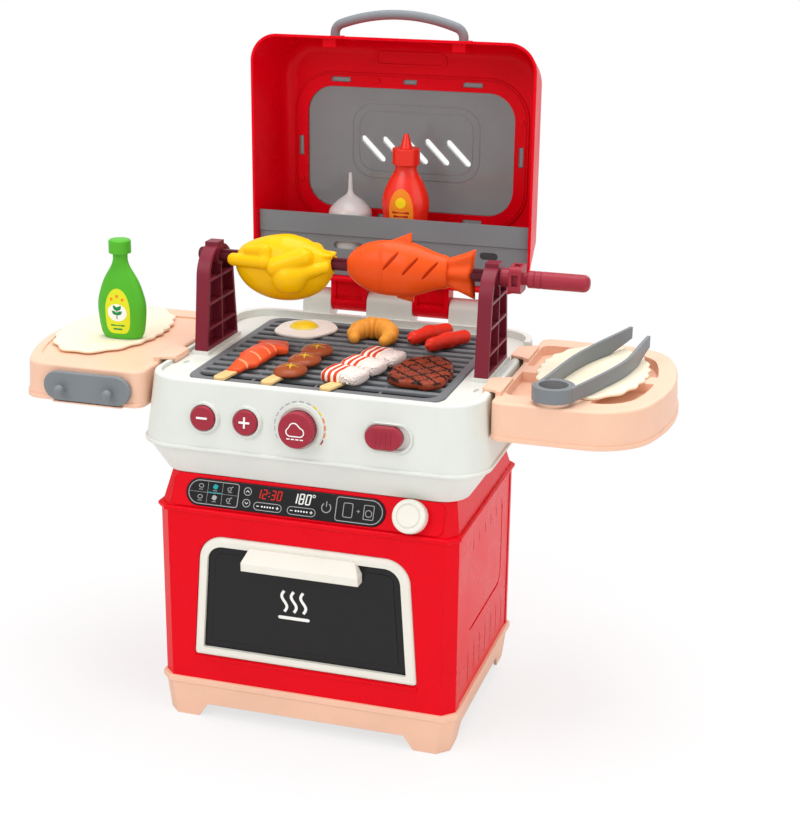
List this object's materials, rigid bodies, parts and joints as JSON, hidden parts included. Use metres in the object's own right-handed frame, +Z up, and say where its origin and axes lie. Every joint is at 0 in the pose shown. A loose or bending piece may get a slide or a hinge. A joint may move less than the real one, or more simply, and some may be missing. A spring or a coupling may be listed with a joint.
{
  "type": "toy barbecue grill",
  "caption": "Toy barbecue grill on an oven stand, with rotisserie, opened windowed lid, side trays, controls, tongs, sauce bottles and play food.",
  "frame": {"origin": "middle of the whole grill's footprint box, on the surface it stands on", "axes": "+Z up, -Y towards the child who plays at the controls, +X to the right seen from the front"},
  "size_m": [0.6031, 0.3338, 0.6276],
  "materials": {
    "red_plastic": "glossy moulded",
    "peach_plastic": "satin moulded",
    "white_plastic": "satin moulded",
    "cream_plastic": "satin moulded",
    "burgundy_plastic": "satin moulded",
    "grey_plastic": "satin moulded",
    "dark_plastic": "matt moulded",
    "black_gloss": "glossy",
    "smoke_clear": "clear moulded",
    "clear_plastic": "translucent moulded",
    "steel": "plain",
    "board_green": "coated",
    "yellow_plastic": "satin moulded",
    "orange_plastic": "satin moulded",
    "egg_plastic": "satin moulded",
    "yolk_plastic": "glossy moulded",
    "pastry_plastic": "satin moulded",
    "sausage_plastic": "glossy moulded",
    "squid_plastic": "satin moulded",
    "mushroom_plastic": "satin moulded",
    "bacon_plastic": "matt moulded",
    "steak_plastic": "matt moulded",
    "bread_plastic": "matt moulded",
    "green_plastic": "glossy moulded"
  },
  "bodies": {
    "stand": {"base": "peach_plastic", "base_screws": "steel", "front_panel": "red_plastic", "right_side_panel": "red_plastic", "left_side_panel": "red_plastic", "back_panel": "red_plastic", "oven_liner": "dark_plastic", "fascia": "red_plastic", "display_plate": "black_gloss", "door_pins": "steel", "tub_lower_shell": "white_plastic", "tub_upper_shell": "white_plastic", "tub_screws": "steel", "coal_pan": "dark_plastic", "circuit_board": "board_green", "speaker": "dark_plastic", "battery_box": "dark_plastic", "battery_cover": "white_plastic", "batteries": "steel", "left_post": "burgundy_plastic", "right_post": "burgundy_plastic", "hinge_pin": "steel"},
    "oven_door": {"door_frame": "cream_plastic", "door_glass": "black_gloss", "door_handle": "cream_plastic"},
    "oven_knob": {"oven_knob": "cream_plastic"},
    "minus_button": {"minus_button": "burgundy_plastic"},
    "plus_button": {"plus_button": "burgundy_plastic"},
    "heat_dial": {"heat_dial": "burgundy_plastic"},
    "slide_switch": {"slide_switch": "burgundy_plastic"},
    "spit": {"spit_rod": "burgundy_plastic", "spit_handle": "burgundy_plastic", "roast_chicken": "yellow_plastic", "roast_fish": "orange_plastic"},
    "lid": {"lid_shell": "red_plastic", "lid_window": "smoke_clear", "lid_screws": "steel", "carry_handle": "grey_plastic", "lid_pocket": "grey_plastic"},
    "red_bottle": {"red_sauce_bottle": "red_plastic", "red_bottle_cap": "red_plastic"},
    "clear_bottle": {"clear_sauce_bottle": "clear_plastic"},
    "left_tray": {"left_tray": "peach_plastic", "hook_plate": "grey_plastic"},
    "left_bread": {"left_flatbread": "bread_plastic"},
    "green_bottle": {"green_sauce_bottle": "green_plastic"},
    "right_tray": {"right_tray": "peach_plastic"},
    "right_bread": {"right_flatbread": "bread_plastic"},
    "tongs": {"tongs_outer_arm": "grey_plastic"},
    "tongs_arm": {"tongs_inner_arm": "grey_plastic"},
    "grate": {"grill_grate": "grey_plastic"},
    "egg": {"egg_white": "egg_plastic", "egg_yolk": "yolk_plastic"},
    "croissant": {"croissant": "pastry_plastic"},
    "sausages": {"sausages": "sausage_plastic"},
    "squid": {"squid_skewer": "squid_plastic"},
    "mushrooms": {"mushroom_skewer": "mushroom_plastic"},
    "bacon": {"bacon_skewer": "bacon_plastic"},
    "steak": {"steak": "steak_plastic"}
  },
  "joints": [
    {"name": "oven_door_hinge", "type": "hinge", "parent": "stand", "child": "oven_door", "pos_m": [-0.00125, -0.1524, 0.0686], "axis": [1, 0, 0], "range_deg": [0, 90]},
    {"name": "oven_knob_turn", "type": "hinge", "parent": "stand", "child": "oven_knob", "pos_m": [0.09625, -0.14651, 0.22162], "axis": [0, -0.9189, 0.3946], "range_deg": [-135, 135]},
    {"name": "minus_press", "type": "slide", "parent": "stand", "child": "minus_button", "axis": [0, 0.9953, -0.0971], "range_m": [0, 0.002], "stiffness_N_per_m": 300},
    {"name": "plus_press", "type": "slide", "parent": "stand", "child": "plus_button", "axis": [0, 0.9953, -0.0971], "range_m": [0, 0.002], "stiffness_N_per_m": 300},
    {"name": "heat_dial_turn", "type": "hinge", "parent": "stand", "child": "heat_dial", "pos_m": [-0.00425, -0.15166, 0.2936], "axis": [0, -0.9953, 0.0971], "range_deg": [-135, 135]},
    {"name": "switch_slide", "type": "slide", "parent": "stand", "child": "slide_switch", "axis": [1, 0, 0], "range_m": [0, 0.006]},
    {"name": "spit_spin", "type": "hinge", "parent": "stand", "child": "spit", "pos_m": [-0.00125, -0.0235, 0.41], "axis": [1, 0, 0], "continuous": true},
    {"name": "lid_hinge", "type": "hinge", "parent": "stand", "child": "lid", "pos_m": [-0.00125, 0.1075, 0.3425], "axis": [1, 0, 0], "range_deg": [0, 45]},
    {"name": "red_bottle_lift", "type": "slide", "parent": "lid", "child": "red_bottle", "axis": [0, 0, 1], "range_m": [0, 0.03]},
    {"name": "clear_bottle_lift", "type": "slide", "parent": "lid", "child": "clear_bottle", "axis": [0, 0, 1], "range_m": [0, 0.03]},
    {"name": "left_tray_lift", "type": "slide", "parent": "stand", "child": "left_tray", "axis": [0, 0, 1], "range_m": [0, 0.025]},
    {"name": "left_bread_lift", "type": "slide", "parent": "left_tray", "child": "left_bread", "axis": [0, 0, 1], "range_m": [0, 0.006]},
    {"name": "green_bottle_lift", "type": "slide", "parent": "left_bread", "child": "green_bottle", "axis": [0, 0, 1], "range_m": [0, 0.03]},
    {"name": "right_tray_lift", "type": "slide", "parent": "stand", "child": "right_tray", "axis": [0, 0, 1], "range_m": [0, 0.025]},
    {"name": "right_bread_lift", "type": "slide", "parent": "right_tray", "child": "right_bread", "axis": [0, 0, 1], "range_m": [0, 0.006]},
    {"name": "tongs_lift", "type": "slide", "parent": "right_bread", "child": "tongs", "axis": [0, 0, 1], "range_m": [0, 0.008]},
    {"name": "tongs_squeeze", "type": "hinge", "parent": "tongs", "child": "tongs_arm", "pos_m": [0.20775, -0.1075, 0.3286], "axis": [0, 0, 1], "range_deg": [-6, 8]},
    {"name": "grate_lift", "type": "slide", "parent": "stand", "child": "grate", "axis": [0, 0, 1], "range_m": [0, 0.01]},
    {"name": "egg_lift", "type": "slide", "parent": "grate", "child": "egg", "axis": [0, 0, 1], "range_m": [0, 0.01]},
    {"name": "croissant_lift", "type": "slide", "parent": "grate", "child": "croissant", "axis": [0, 0, 1], "range_m": [0, 0.01]},
    {"name": "sausages_lift", "type": "slide", "parent": "grate", "child": "sausages", "axis": [0, 0, 1], "range_m": [0, 0.01]},
    {"name": "squid_lift", "type": "slide", "parent": "grate", "child": "squid", "axis": [0, 0, 1], "range_m": [0, 0.01]},
    {"name": "mushrooms_lift", "type": "slide", "parent": "grate", "child": "mushrooms", "axis": [0, 0, 1], "range_m": [0, 0.01]},
    {"name": "bacon_lift", "type": "slide", "parent": "grate", "child": "bacon", "axis": [0, 0, 1], "range_m": [0, 0.01]},
    {"name": "steak_lift", "type": "slide", "parent": "grate", "child": "steak", "axis": [0, 0, 1], "range_m": [0, 0.01]}
  ]
}
